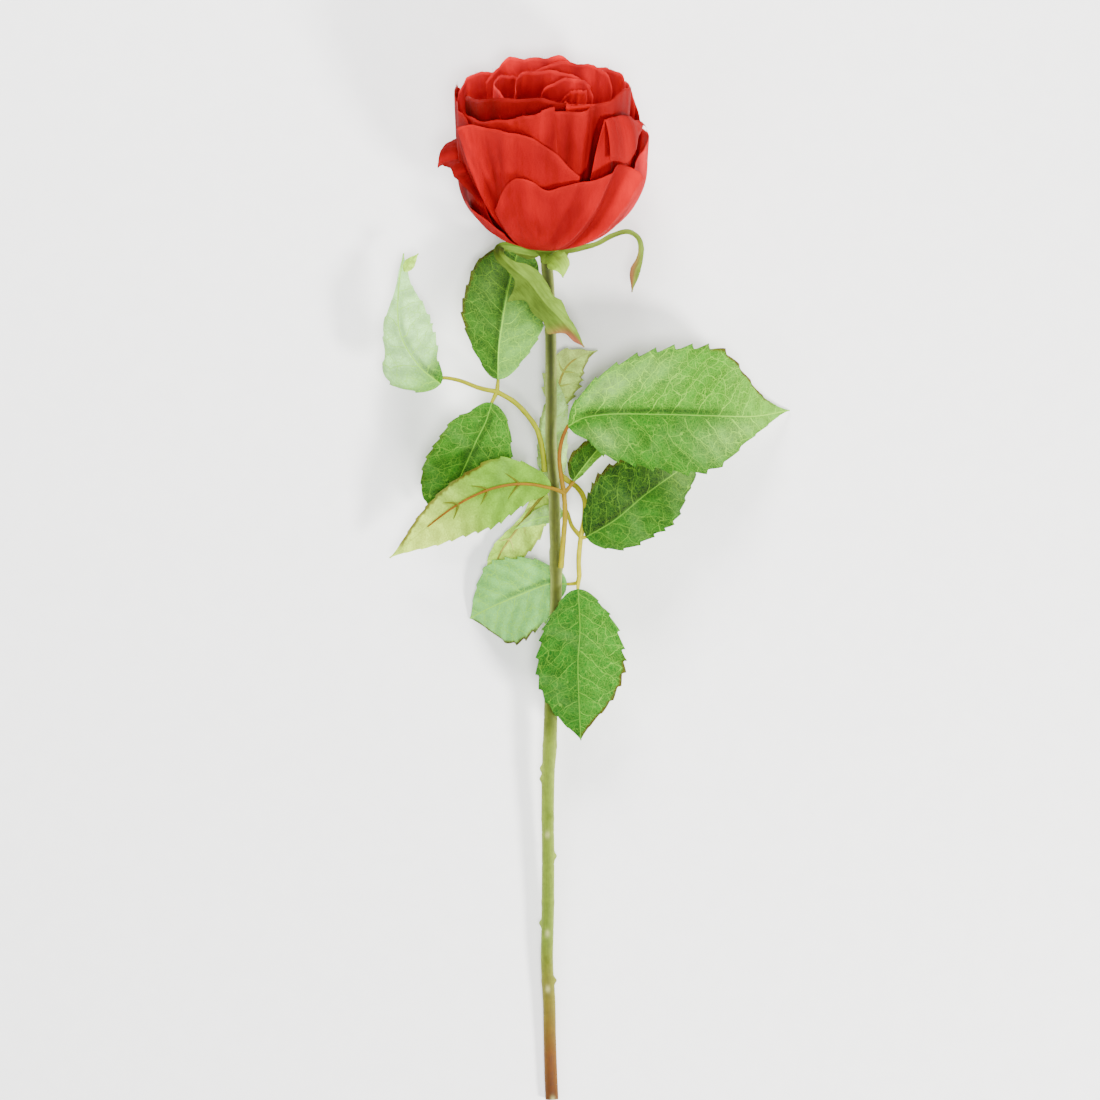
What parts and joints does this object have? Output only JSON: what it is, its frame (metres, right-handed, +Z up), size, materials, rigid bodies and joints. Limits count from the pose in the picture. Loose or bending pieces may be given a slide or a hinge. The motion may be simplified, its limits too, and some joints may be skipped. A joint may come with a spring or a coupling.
{
  "type": "artificial long-stemmed rose",
  "caption": "Artificial long-stemmed red rose with a full layered cloth bloom, serrated cloth leaves and a moulded stem, lying on its side.",
  "frame": {"origin": "on the surface the rose lies on, under the middle of its bounding box", "axes": "+Z up from the surface, +Y along the stem towards the bloom, +X to the right seen from above with the bloom at the top"},
  "size_m": [0.2056, 0.5245, 0.1023],
  "materials": {
    "petal_cloth": "matt woven polyester, deep red, paler towards lit edges",
    "leaf_cloth": "stiffened woven polyester, printed green with pale veins, pale yellow-green underside",
    "sepal_cloth": "stiffened woven polyester, olive green with reddish tips",
    "stem_plastic": "satin moulded plastic over wire, olive green, brown at the cut end",
    "stalk_plastic": "satin moulded plastic, yellow to orange-brown"
  },
  "bodies": {
    "root": {"stem": "stem_plastic", "calyx": "sepal_cloth", "bloom": "petal_cloth", "stalk_a": "stalk_plastic", "stalk_b": "stalk_plastic", "stalk_c": "stalk_plastic", "stalk_d": "stalk_plastic", "leaf_a1": "leaf_cloth", "leaf_a2": "leaf_cloth", "leaf_a3": "leaf_cloth", "leaf_b1": "leaf_cloth", "leaf_b2": "leaf_cloth", "leaf_b3": "leaf_cloth", "leaf_c1": "leaf_cloth", "leaf_c2": "leaf_cloth", "leaf_c3": "leaf_cloth", "leaf_c4": "leaf_cloth", "leaf_d1": "leaf_cloth", "leaf_d2": "leaf_cloth", "leaf_d3": "leaf_cloth"}
  },
  "joints": []
}
